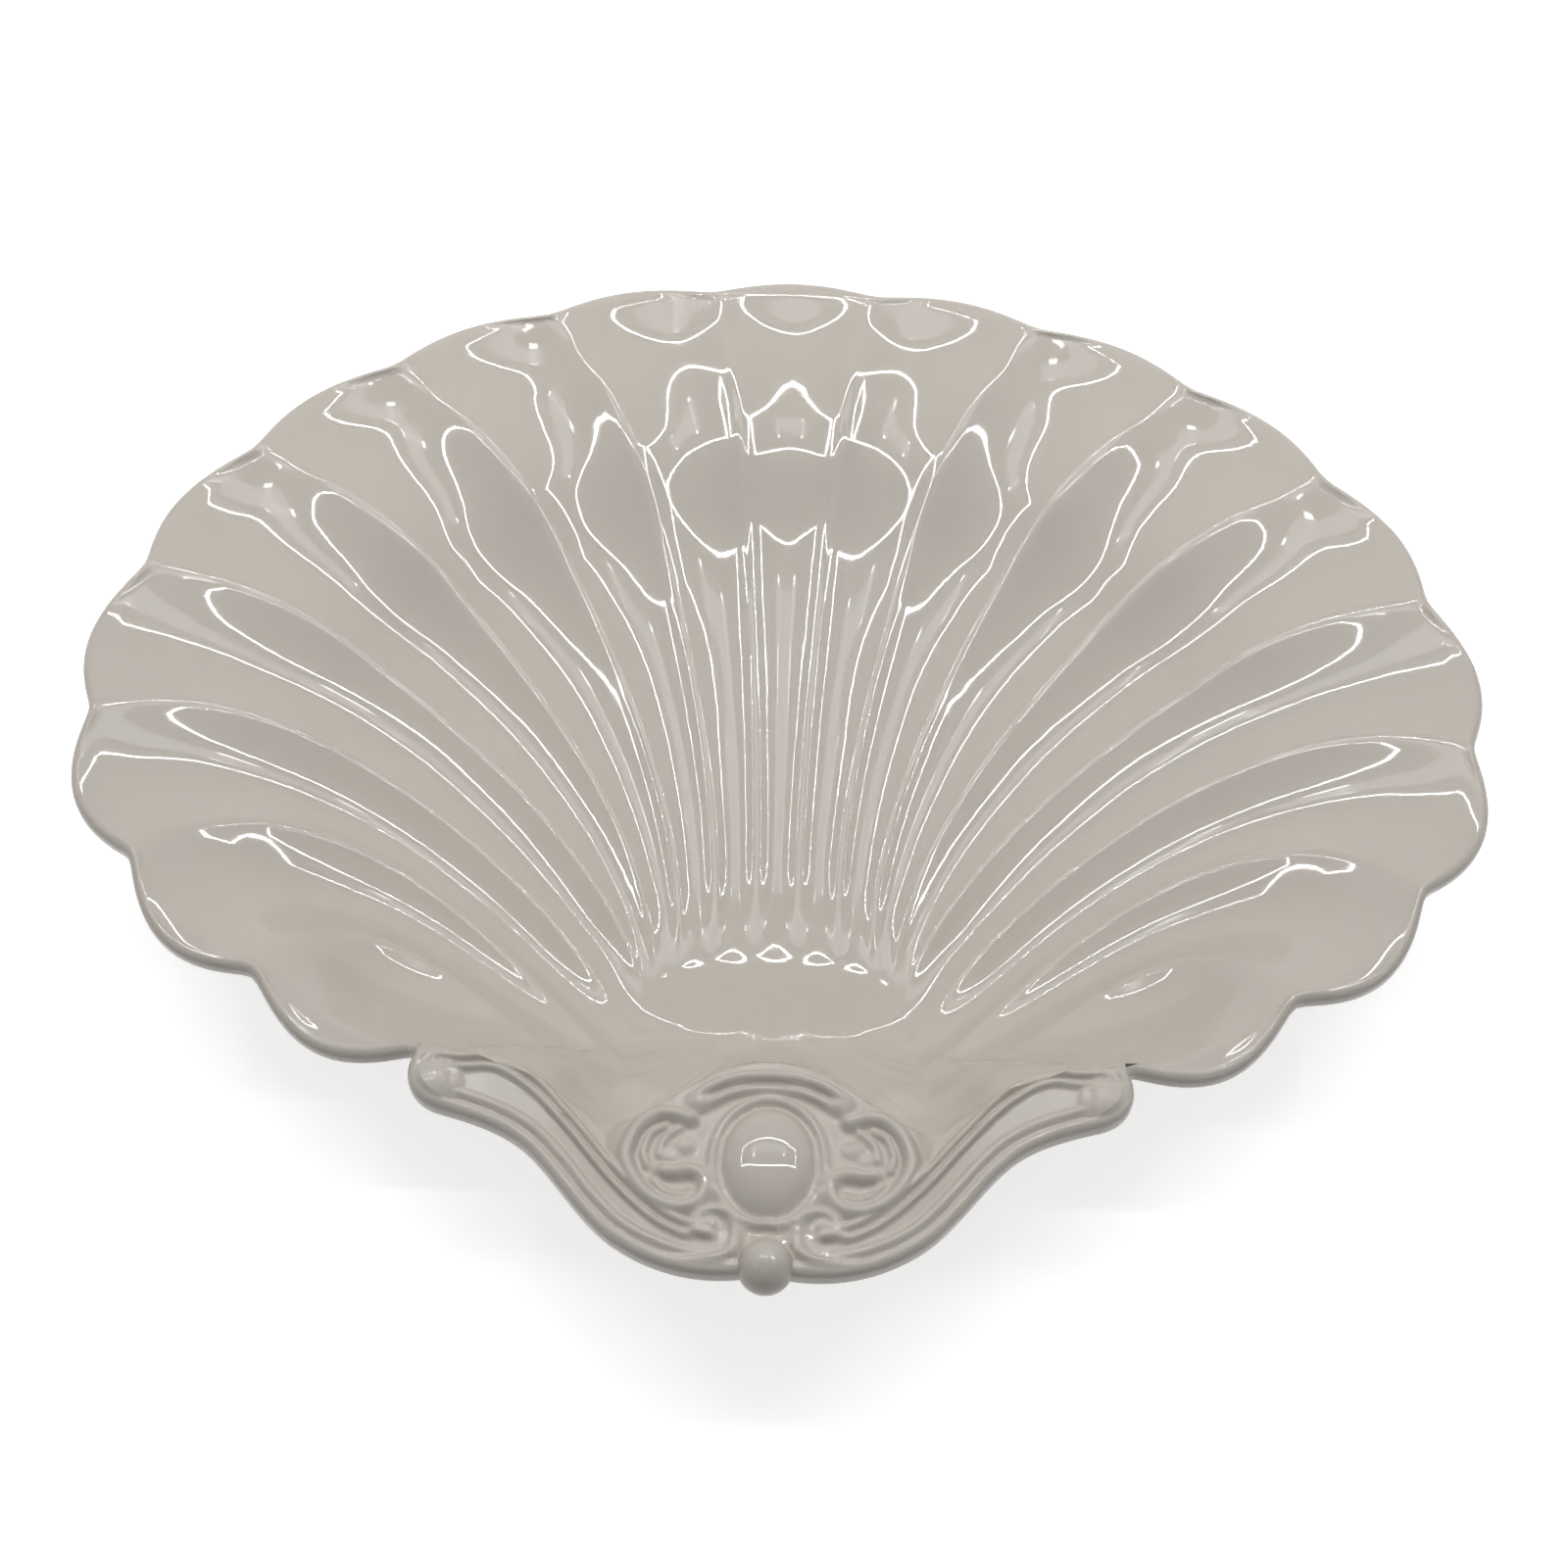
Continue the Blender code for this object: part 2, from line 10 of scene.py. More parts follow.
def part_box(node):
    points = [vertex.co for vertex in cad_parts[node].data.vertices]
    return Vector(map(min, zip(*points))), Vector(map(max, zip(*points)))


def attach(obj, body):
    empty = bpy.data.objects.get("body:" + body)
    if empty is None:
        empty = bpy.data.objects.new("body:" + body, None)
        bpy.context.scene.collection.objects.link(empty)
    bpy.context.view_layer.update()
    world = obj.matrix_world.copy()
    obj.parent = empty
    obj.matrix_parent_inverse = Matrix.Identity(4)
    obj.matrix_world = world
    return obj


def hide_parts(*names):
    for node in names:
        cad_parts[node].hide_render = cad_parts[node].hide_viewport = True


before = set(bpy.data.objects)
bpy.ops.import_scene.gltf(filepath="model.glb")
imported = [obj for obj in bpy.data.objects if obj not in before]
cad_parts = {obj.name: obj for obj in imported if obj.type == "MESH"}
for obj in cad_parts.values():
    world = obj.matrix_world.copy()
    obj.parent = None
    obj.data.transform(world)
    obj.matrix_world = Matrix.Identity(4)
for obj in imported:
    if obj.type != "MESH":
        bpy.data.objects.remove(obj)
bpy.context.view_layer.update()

# The bowl is one cast wall of white earthenware. Seventeen flutes fan out from an oval well, over
# a steep shoulder, to the scalloped rim, and short ones run down the wall below the hinge plate.
# Plan places are counted from the knob's tip and heights from the rim, until the mesh is made.
KNOB_RISE = 0.0055          # the knob's top over the rim
platter_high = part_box("shell_platter")[1]
RIM_Z = platter_high.z - KNOB_RISE

RIM_HALF_WIDTH = 0.1765
RIM_BACK = 0.143            # from the widest place to the notches at the back
RIM_FRONT = 0.113
RIM_WIDEST_Y = 0.157
FAN_END_X = 0.084           # where the scallops end beside the hinge plate's ears
LOBES = 17
HALF_LOBES = LOBES / 2
BULGE_BACK = 0.0045         # how far a lobe stands out past its notches
BULGE_FRONT = 0.0085
BULGE_GROWTH = 3
NOTCH_ROUNDING = 0.12

WELL_DEPTH = 0.042
WELL_HALF_WIDTH = 0.033
WELL_HALF_DEPTH = 0.013
WELL_Y = 0.096
WELL_LOBES = 9              # lobes whose flutes end at the well
CORNER = (0.041, 0.042)     # where the last rib, the canopy and the hinge plate meet
KEY_RIBS = (                # place in lobes from the middle, and the rib's two handles
    (0.0, (0.000, 0.271), (0.000, 0.159)),
    (3.0, (0.069, 0.228), (0.026, 0.147)),
    (6.0, (0.115, 0.168), (0.054, 0.105)),
    (HALF_LOBES, (0.072, 0.060), (0.051, 0.051)),
)
RIM_HANDLE, WELL_HANDLE = 1, 2
LAST_HANDLES = KEY_RIBS[-1]

# Share of the way from the well to the rim, and the height over the well's floor
BACK_SECTION = (
    (0.0, 0.0), (0.04, 0.0004), (0.10, 0.0016), (0.20, 0.0041), (0.30, 0.0069), (0.40, 0.0099),
    (0.50, 0.0133), (0.55, 0.0155), (0.60, 0.0183), (0.65, 0.0219), (0.70, 0.0268), (0.75, 0.0317),
    (0.80, 0.0350), (0.85, 0.0373), (0.88, 0.0383), (0.91, 0.0389), (0.94, 0.0395), (1.0, 0.0420),
)
SIDE_SECTION = (
    (0.0, 0.0), (0.04, 0.0004), (0.10, 0.0018), (0.20, 0.0047), (0.30, 0.0081), (0.40, 0.0121),
    (0.50, 0.0171), (0.60, 0.0229), (0.65, 0.0262), (0.70, 0.0295), (0.75, 0.0325), (0.80, 0.0351),
    (0.88, 0.0383), (0.94, 0.0401), (1.0, 0.0420),
)
SIDEWAYS = (0.68, 0.90)     # cosines of the directions between which the section changes
FRONTAL = (0.45, 0.85)      # sines of the directions between which the front wall takes over
FRONT_BEND = 1.25


def smooth(low, high, x):
    t = np.clip((x - low) / (high - low), 0.0, 1.0)
    return t * t * (3 - 2 * t)


def bezier(a, b, c, d, t):
    a, b, c, d = (np.asarray(p, float) for p in (a, b, c, d))
    t = np.asarray(t, float)[..., None]
    s = 1 - t
    return a * s ** 3 + b * (3 * s * s * t) + c * (3 * s * t * t) + d * t ** 3


def mirrored(side, points):
    return np.stack([np.where(side >= 0, points[..., 0], -points[..., 0]), points[..., 1]], -1)


def unit(vectors):
    return vectors / np.linalg.norm(vectors, axis=-1, keepdims=True)


def scallop(t, rounding):
    """0 at a ridge and 1 midway to the next, with the ridge rounded."""
    bow = np.sqrt(np.sin(pi * t) ** 2 + rounding ** 2) - rounding
    return bow / (np.sqrt(1 + rounding ** 2) - rounding)


def oval(angle):
    """Point and outward direction on the line through the rim's notches."""
    reach = np.where(np.sin(angle) > 0, RIM_BACK, RIM_FRONT)
    point = np.stack([RIM_HALF_WIDTH * np.cos(angle), RIM_WIDEST_Y + reach * np.sin(angle)], -1)
    return point, unit(np.stack([reach * np.cos(angle), RIM_HALF_WIDTH * np.sin(angle)], -1))


arc_angles = np.linspace(-np.arccos(FAN_END_X / RIM_HALF_WIDTH), pi / 2, 2000)
arc_steps = np.linalg.norm(np.diff(oval(arc_angles)[0], axis=0), axis=1)
arc_lengths = np.concatenate(([0.0], np.cumsum(arc_steps)))


def rim_plan(lobe, bulge=1.0):
    """Point of the rim, with lobes counted from the middle of the back."""
    lobe = np.asarray(lobe, float)
    out = np.abs(lobe) / HALF_LOBES
    point, outwards = oval(np.interp(arc_lengths[-1] * (1 - out), arc_lengths, arc_angles))
    stand = BULGE_BACK + (BULGE_FRONT - BULGE_BACK) * out ** BULGE_GROWTH
    point = point + outwards * (bulge * stand * scallop(lobe + 0.5, NOTCH_ROUNDING))[..., None]
    return mirrored(lobe, point)


def through(keys, values, x):
    """Smooth curve through a few values."""
    total = 0.0
    for key, value in zip(keys, values):
        total = total + value * np.prod([(x - k) / (key - k) for k in keys if k != key], axis=0)
    return total


def rib_handle(lobe, which):
    squares = [key[0] ** 2 for key in KEY_RIBS]
    spread = through(squares[1:], [key[which][0] / key[0] for key in KEY_RIBS[1:]], lobe ** 2)
    depth = through(squares, [key[which][1] for key in KEY_RIBS], lobe ** 2)
    return np.stack([lobe * spread, depth], -1)


def well_plan(lobe):
    """Where a rib starts: round the back of the well, then on towards the hinge's corner."""
    count = np.abs(lobe)
    turn = pi / 2 * np.minimum(count / (WELL_LOBES / 2), 1.0)
    x, y = WELL_HALF_WIDTH * np.sin(turn), WELL_Y + WELL_HALF_DEPTH * np.cos(turn)
    share = np.maximum((count - WELL_LOBES / 2) / (HALF_LOBES - WELL_LOBES / 2), 0.0)
    x = x + (CORNER[0] - WELL_HALF_WIDTH) * share
    y = y + (CORNER[1] - WELL_Y) * share
    return mirrored(lobe, np.stack([x, y], -1))


def rib_plan(lobe, share):
    handles = rib_handle(lobe, WELL_HANDLE), rib_handle(lobe, RIM_HANDLE)
    return bezier(well_plan(lobe), *handles, rim_plan(lobe), share)


HINGE_CORNERS = ((0.0, 0.0055), (0.036, 0.012), (0.056, 0.0335), (0.0775, 0.0433))
HINGE_HANDLES = (
    ((0.014, 0.002), (0.026, 0.005)),
    ((0.044, 0.018), (0.049, 0.027)),
    ((0.062, 0.039), (0.070, 0.0412)),
    ((0.085, 0.0455), (0.087, 0.052)),
)
CANOPY_Y = 0.057            # the hinge plate's edge towards the bowl, in the middle
CANOPY_HANDLES = ((0.018, 0.0580), (0.033, 0.033))
CORNER_CROWDING = 2.2       # draws the mesh's columns together at the corner

hinge_ends = HINGE_CORNERS + (tuple(rim_plan(HALF_LOBES)),)
stretch = np.linspace(0, 1, 120)[:-1]
stretches = [bezier(start, *handles, end, stretch)
             for start, handles, end in zip(hinge_ends, HINGE_HANDLES, hinge_ends[1:])]
edge_line = np.concatenate(stretches + [np.array([hinge_ends[-1]])])
edge_along = np.linspace(0, 1, len(edge_line))


def hinge_edge(along):
    """Point of the plate's outer edge: 0 at the knob, 1 and -1 at the ends of the fan."""
    points = np.stack([np.interp(np.abs(along), edge_along, edge_line[:, i]) for i in (0, 1)], -1)
    return mirrored(along, points)


def canopy_edge(along):
    share = 1 - (1 - np.minimum(np.abs(along), 1.0)) ** CORNER_CROWDING
    return mirrored(along, bezier((0.0, CANOPY_Y), *CANOPY_HANDLES, CORNER, share))


side_steps = np.linspace(0, 1, 200)
upper_edge = [rim_plan(np.linspace(-HALF_LOBES, HALF_LOBES, 900), bulge=0.0)]
for side in (-1, 1):
    last_rib = rib_plan(np.full(len(side_steps), side * HALF_LOBES), side_steps)
    upper_edge += [last_rib, canopy_edge(side * side_steps)]
upper_edge = np.concatenate(upper_edge)
edge_direction = np.arctan2(upper_edge[:, 1] - WELL_Y, upper_edge[:, 0])
edge_reach = np.hypot(upper_edge[:, 0], upper_edge[:, 1] - WELL_Y)
order = np.argsort(edge_direction)
edge_direction, edge_reach = edge_direction[order], edge_reach[order]


def past_well(plan):
    """Direction of plan points from the well's middle, and how far out they and the well's edge are."""
    x, y = plan[..., 0], plan[..., 1] - WELL_Y
    direction = np.arctan2(y, x)
    well = 1 / np.hypot(np.cos(direction) / WELL_HALF_WIDTH, np.sin(direction) / WELL_HALF_DEPTH)
    return direction, np.hypot(x, y), well


def cubic(points, x):
    """Cubic spline through points, level at its start."""
    keys, values = np.array(points).T
    gaps, rises = np.diff(keys), np.diff(values)
    system = np.diag(np.concatenate(([2 * gaps[0]], 2 * (gaps[:-1] + gaps[1:]), [2 * gaps[-1]])))
    system += np.diag(gaps, 1) + np.diag(gaps, -1)
    slopes = rises / gaps
    bends = np.linalg.solve(system, 6 * np.diff(slopes, prepend=0.0, append=slopes[-1]))
    at = np.clip(np.searchsorted(keys, x) - 1, 0, len(gaps) - 1)
    a, b, gap = x - keys[at], keys[at + 1] - x, gaps[at]
    curve = (bends[at] * b ** 3 + bends[at + 1] * a ** 3) / (6 * gap)
    before = values[at] / gap - bends[at] * gap / 6
    after = values[at + 1] / gap - bends[at + 1] * gap / 6
    return curve + before * b + after * a


def bowl_level(plan):
    """Height of the bowl without its flutes."""
    direction, reach, well = past_well(plan)
    edge = np.interp(direction, edge_direction, edge_reach, period=2 * pi)
    way = np.clip((reach - well) / (edge - well), 0.0, 1.0)
    frontal = smooth(*FRONTAL, -np.sin(direction))
    sideways = smooth(*SIDEWAYS, np.abs(np.cos(direction)))
    fan = cubic(BACK_SECTION, way) * (1 - sideways) + cubic(SIDE_SECTION, way) * sideways
    front = WELL_DEPTH * way ** FRONT_BEND
    return fan + (front - fan) * frontal - WELL_DEPTH


FLUTE_SHARE = 0.13          # depth of a flute, as a share of its width
FLUTE_START = (-0.004, 0.028)       # distances from the well's edge over which a flute begins
FLUTE_AT_RIM = 0.35         # what is left of its depth at the rim
BORDER_START = 0.74
RIDGE_ROUNDING = 0.05
WELL_ROUNDING = 0.30        # added to the rounding at the well
WELL_ROUNDING_REACH = 0.5
LAST_LOBES = (6.0, 8.4)     # lobes over which the flutes fade out beside the hinge
LAST_LOBES_REACH = (0.15, 0.85)
FRONT_LOBES = 8
FRONT_FLUTES = 0.6
FRONT_FLUTES_END = (0.45, 0.95)
RIM_CLEAR = 0.0029          # from the last row of the surface to the rim's edge
LOBE_STEPS = 20
HINGE_COLUMNS = 240
WELL_STEPS = 24
FAN_STEPS = 84


def flute(width, fade, plan, place, rounding):
    """How far a flute of this width is sunk at a place between its ribs."""
    reach, well = past_well(plan)[1:]
    return FLUTE_SHARE * width * fade * smooth(*FLUTE_START, reach - well) * scallop(place, rounding)


def first_rib(lobe):
    return np.clip(np.floor(lobe + 0.5) - 0.5, -HALF_LOBES, HALF_LOBES - 1)


def beside_hinge(lobe, share):
    """Fades the last flutes where they run out beside the hinge."""
    return 1 - smooth(*LAST_LOBES, np.abs(lobe)) * (1 - smooth(*LAST_LOBES_REACH, share))


def fan_surface(lobe, share):
    """Plan points and heights of the fan, from the well (share 0) to the rim (share 1)."""
    plan, rib = rib_plan(lobe, share), first_rib(lobe)
    width = np.linalg.norm(rib_plan(rib, share) - rib_plan(rib + 1, share), axis=-1)
    fade = (1 - (1 - FLUTE_AT_RIM) * smooth(BORDER_START, 1.0, share)) * beside_hinge(lobe, share)
    rounding = RIDGE_ROUNDING + WELL_ROUNDING * (1 - smooth(0.0, WELL_ROUNDING_REACH, share))
    return plan, bowl_level(plan) - flute(width, fade, plan, lobe - rib, rounding)


def well_surface(lobe, share):
    """The floor of the well and what lies round it, inside the inner ends of the ribs."""
    rib = first_rib(lobe)
    centre = np.array([0.0, WELL_Y])
    plan = centre + (well_plan(lobe) - centre) * share[..., None]
    width = np.linalg.norm(well_plan(rib) - well_plan(rib + 1), axis=-1) * share
    rounding = RIDGE_ROUNDING + WELL_ROUNDING
    fade = beside_hinge(lobe, 0 * share)
    return plan, bowl_level(plan) - flute(width, fade, plan, lobe - rib, rounding)


def front_surface(along, share):
    """The wall below the canopy, with its short flutes."""
    place = (along + 1) / 2 * FRONT_LOBES
    first = np.floor(place)
    ends = [canopy_edge(2 * (first + k) / FRONT_LOBES - 1) for k in (0, 1)]
    centre = np.array([0.0, WELL_Y])
    plan = centre + (canopy_edge(along) - centre) * share[..., None]
    width = np.linalg.norm(ends[0] - ends[1], axis=-1) * share
    fade = FRONT_FLUTES * (1 - smooth(*FRONT_FLUTES_END, share))
    rounding = RIDGE_ROUNDING + WELL_ROUNDING
    return plan, bowl_level(plan) - flute(width, fade, plan, place, rounding)


fan_lobes = np.linspace(HALF_LOBES, -HALF_LOBES, LOBES * LOBE_STEPS + 1)
hinge_alongs = np.linspace(-1, 1, HINGE_COLUMNS + 1)[1:-1]
well_shares = np.linspace(0, 1, WELL_STEPS + 1)[1:-1]
fan_shares = np.linspace(0, 1, FAN_STEPS)
rim_pace = 3 * np.linalg.norm(rim_plan(fan_lobes) - rib_handle(fan_lobes, RIM_HANDLE), axis=-1)
fan_end = (1 - RIM_CLEAR / rim_pace)[:, None]

fan_plan, fan_level = fan_surface(fan_lobes[:, None] + 0 * fan_shares, fan_end * fan_shares)
floor_plan, floor_level = well_surface(*np.meshgrid(fan_lobes, well_shares, indexing="ij"))
front_plan, front_level = front_surface(*np.meshgrid(hinge_alongs, well_shares, indexing="ij"))

# The hinge plate is cast in one with the bowl. Reeded bands curl from an ear down to a volute
# beside the knob, C scrolls with leaves stand beside an oval cabochon in its border, and a double
# canopy bends over it. All lines are given for the right half, in plan.
APPROACH = 0.010            # straight stretch of the plate's rows at its outer edge
FIRST_STRETCH = 0.33
LAST_COLUMNS = (0.80, 1.0)  # columns that turn into the last rib


def plate_surface(along, share):
    """Plan points of the plate, from the canopy's edge (share 0) to its outer edge (share 1)."""
    start, edge = canopy_edge(along), hinge_edge(along)
    ahead = hinge_edge(along + 0.01) - hinge_edge(along - 0.01)
    inwards = unit(np.stack([-ahead[..., 1], ahead[..., 0]], -1))
    last = smooth(*LAST_COLUMNS, np.abs(along))[..., None]
    near_start = start + (edge - start) * FIRST_STRETCH
    last_start = mirrored(along, np.array(LAST_HANDLES[WELL_HANDLE]) + 0 * start)
    near_start = near_start + (last_start - near_start) * last
    near_edge = edge + inwards * APPROACH
    last_edge = mirrored(along, np.array(LAST_HANDLES[RIM_HANDLE]) + 0 * start)
    near_edge = near_edge + (last_edge - near_edge) * last
    end = 1 - RIM_CLEAR / (3 * np.linalg.norm(edge - near_edge, axis=-1))
    return bezier(start, near_start, near_edge, edge, share * end)


def spline(points, steps=8):
    """Smooth line through a few plan points."""
    p = np.asarray(points, float)
    p = np.concatenate(([2 * p[0] - p[1]], p, [2 * p[-1] - p[-2]]))
    t = np.linspace(0, 1, steps, endpoint=False)
    parts = [bezier(b, b + (c - a) / 6, c - (d - b) / 6, c, t)
             for a, b, c, d in zip(p, p[1:], p[2:], p[3:])]
    return np.concatenate(parts + [p[-2:-1]])


def distance_to(line, plan):
    """Distance in plan from every point to a line, and the share along it of the nearest place."""
    a, b = line[:-1], line[1:]
    flat = plan.reshape(-1, 1, 2)
    step = b - a
    t = np.clip(((flat - a) * step).sum(-1) / (step ** 2).sum(-1), 0, 1)
    gap = np.linalg.norm(flat - (a + step * t[..., None]), axis=-1)
    near = gap.argmin(1)
    rows = np.arange(len(near))
    share = (near + t[rows, near]) / len(a)
    return gap[rows, near].reshape(plan.shape[:-1]), share.reshape(plan.shape[:-1])


def inside(polygon, plan):
    x, y = plan[..., 0], plan[..., 1]
    crossings = np.zeros(x.shape, int)
    for (x0, y0), (x1, y1) in zip(polygon, np.roll(polygon, -1, axis=0)):
        if y0 != y1:
            crossings += ((y0 > y) != (y1 > y)) & (x < x0 + (x1 - x0) * (y - y0) / (y1 - y0))
    return crossings % 2 == 1


def ridge(distance, radius, height):
    """Round ridge with soft feet."""
    t = np.clip(distance / radius, 0, 1)
    return height * (1 - t * t) ** 1.5


def dome(plan, middle, half, height, fullness=2.0):
    """Oval boss, rounder at its edge the fuller it is."""
    rho = np.hypot((plan[..., 0] - middle[0]) / half[0], (plan[..., 1] - middle[1]) / half[1])
    return height * np.clip(1 - rho ** fullness, 0, 1) ** 0.75


# Reeded band: its lip and reed run along the outer edge, its double inner ridge along BAND_LINE
LIP_PLACE = 0.0014
LIP_RIDGE = (0.0018, 0.0010)        # radius and height of a ridge
REED_PLACE = 0.0049
REED_RIDGE = (0.0017, 0.0012)
BAND_LINE = ((0.0780, 0.0550), (0.0720, 0.0548), (0.0665, 0.0552), (0.0610, 0.0534), (0.0540, 0.0484),
             (0.0480, 0.0422), (0.0420, 0.0352), (0.0360, 0.0280), (0.0300, 0.0220), (0.0240, 0.0172),
             (0.0185, 0.0146))
BAND_SPLIT = 0.0014
BAND_RIDGE = (0.0014, 0.0018)
BAND_START = (0.06, 0.16)           # shares along the edge
BAND_END = (0.87, 0.90)
CHANNEL_SINK = 0.0007
CHANNEL_OUTER = (0.0070, 0.0085)
CHANNEL_INNER = (0.0, 0.003)
VOLUTE_LINE = ((0.0250, 0.0072), (0.0155, 0.0070), (0.0092, 0.0086), (0.0068, 0.0126), (0.0076, 0.0172),
               (0.0106, 0.0194), (0.0142, 0.0188), (0.0162, 0.0164), (0.0154, 0.0140), (0.0130, 0.0136))
VOLUTE_RIDGE = (0.0017, 0.0021)
VOLUTE_EYE = ((0.0132, 0.0162), (0.0026, 0.0026), 0.0014)     # middle, half size and height
EAR = ((0.0785, 0.0500), (0.0068, 0.0060), 0.0026)
EAR_CREASE = ((0.0748, 0.0430), (0.0742, 0.0470), (0.0748, 0.0510))
EAR_CREASE_RIDGE = (0.0016, -0.0006)

# C scroll with its leaves
C_LINE = ((0.0185, 0.0418), (0.0224, 0.0430), (0.0262, 0.0427), (0.0296, 0.0402), (0.0319, 0.0366),
          (0.0330, 0.0317), (0.0314, 0.0272), (0.0290, 0.0239), (0.0258, 0.0213), (0.0218, 0.0198),
          (0.0176, 0.0202), (0.0152, 0.0222), (0.0142, 0.0252), (0.0154, 0.0278), (0.0184, 0.0288),
          (0.0216, 0.0284), (0.0242, 0.0286))
C_RIDGE = (0.0026, 0.0026)
LEAF_LINES = (((0.0242, 0.0398), (0.0274, 0.0378), (0.0289, 0.0335), (0.0280, 0.0300)),
              ((0.0262, 0.0262), (0.0236, 0.0236), (0.0200, 0.0226), (0.0176, 0.0236)),
              ((0.0212, 0.0392), (0.0244, 0.0362), (0.0252, 0.0326)))
LEAF_RIDGE = (0.0014, 0.0014)
LEAF_TIPS = (((0.0196, 0.0352), (0.0030, 0.0024), 0.0011), ((0.0226, 0.0326), (0.0024, 0.0020), 0.0008))

# Canopy and cabochon
CANOPY_LINES = (((0.0, 0.0532), (0.0070, 0.0526), (0.0130, 0.0505), (0.0170, 0.0475)),
                ((0.0, 0.0498), (0.0060, 0.0494), (0.0105, 0.0480), (0.0135, 0.0462)))
CANOPY_RIDGES = ((0.0022, 0.0027), (0.0016, 0.0020))
CANOPY_CURL = ((0.0166, 0.0465), (0.0034, 0.0034), 0.0024)
CABOCHON_Y = 0.0315
CABOCHON_HALF = (0.0112, 0.0138)
CABOCHON_RISE = 0.0046
CABOCHON_FULLNESS = 2.6
BORDER_GAP = 0.0019
BORDER_RIDGE = (0.0015, 0.0018)

# The web between a band and the scrolls is sunk towards the bowl
WEB_LINE = ((0.0195, 0.0480), (0.0225, 0.0455), (0.0270, 0.0450), (0.0316, 0.0420), (0.0342, 0.0375),
            (0.0353, 0.0315), (0.0335, 0.0262), (0.0312, 0.0238))
WEB_TOP = ((0.012, 0.075), (0.062, 0.075))
WEB_LOW_Y = 0.0235
WEB_WIDE_X = 0.062
WEB_DEPTH = 0.0055
WEB_FALL = 0.0045
WEB_MIDDLE = (0.0390, 0.0430)
WEB_REACH = (0.008, 0.021)

band_line = spline(BAND_LINE)
band_outline = np.concatenate([edge_line, band_line])
web_line = spline(WEB_LINE)
beside_web = (band_line[:, 1] > WEB_LOW_Y) & (band_line[:, 0] < WEB_WIDE_X)
web_outline = np.concatenate([band_line[beside_web], web_line[::-1], WEB_TOP])
turns = np.linspace(0, 2 * pi, 120)
border_line = np.stack([(CABOCHON_HALF[0] + BORDER_GAP) * np.cos(turns),
                        CABOCHON_Y + (CABOCHON_HALF[1] + BORDER_GAP) * np.sin(turns)], -1)

line_ridges = [(spline(VOLUTE_LINE), VOLUTE_RIDGE), (spline(C_LINE), C_RIDGE), (border_line, BORDER_RIDGE)]
line_ridges += [(spline(line), LEAF_RIDGE) for line in LEAF_LINES]
line_ridges += [(spline(line), shape) for line, shape in zip(CANOPY_LINES, CANOPY_RIDGES)]
domes = [VOLUTE_EYE, *LEAF_TIPS, CANOPY_CURL, EAR,
         ((0.0, CABOCHON_Y), CABOCHON_HALF, CABOCHON_RISE, CABOCHON_FULLNESS)]


def web_sink(plan):
    """How far the web lies under the plate."""
    plan = np.stack([np.abs(plan[..., 0]), plan[..., 1]], -1)
    gap = np.minimum(distance_to(band_line, plan)[0], distance_to(web_line, plan)[0])
    from_middle = np.hypot(plan[..., 0] - WEB_MIDDLE[0], plan[..., 1] - WEB_MIDDLE[1])
    near = 1 - smooth(*WEB_REACH, from_middle)
    gap = np.where(inside(web_outline, plan), gap, 0.0)
    return WEB_DEPTH * (1 - np.exp(-(gap / WEB_FALL) ** 1.5)) * near


def relief(plan):
    """Height of the ornament over the plate."""
    plan = np.stack([np.abs(plan[..., 0]), plan[..., 1]], -1)
    from_edge, along = distance_to(edge_line, plan)
    band_gap = distance_to(band_line, plan)[0]
    in_band = smooth(*BAND_START, along) * (1 - smooth(*BAND_END, along))
    height = ridge(np.abs(from_edge - LIP_PLACE), *LIP_RIDGE)
    height = np.maximum(height, ridge(np.abs(from_edge - REED_PLACE), *REED_RIDGE) * in_band)
    height = np.maximum(height, ridge(np.abs(band_gap - BAND_SPLIT), *BAND_RIDGE))
    channel = smooth(*CHANNEL_OUTER, from_edge) * smooth(*CHANNEL_INNER, band_gap) * in_band
    height = height - CHANNEL_SINK * channel * inside(band_outline, plan)
    for line, shape in line_ridges:
        height = np.maximum(height, ridge(distance_to(line, plan)[0], *shape))
    for shape in domes:
        height = np.maximum(height, dome(plan, *shape))
    return height + ridge(distance_to(spline(EAR_CREASE), plan)[0], *EAR_CREASE_RIDGE)


plate_plan = plate_surface(*np.meshgrid(hinge_alongs, fan_shares, indexing="ij"))
RELIEF_REACH_Y = 0.066      # no ornament lies further back

top_plan = np.concatenate([np.concatenate([floor_plan, fan_plan], axis=1),
                           np.concatenate([front_plan, plate_plan], axis=1)])
top_level = np.concatenate([np.concatenate([floor_level, fan_level], axis=1),
                            np.concatenate([front_level, np.zeros(plate_plan.shape[:2])], axis=1)])
top_level -= web_sink(top_plan)
on_hinge = top_plan[..., 1] < RELIEF_REACH_Y
top_level[on_hinge] += relief(top_plan[on_hinge])
sections = [np.concatenate([top_plan, top_level[..., None]], -1)]

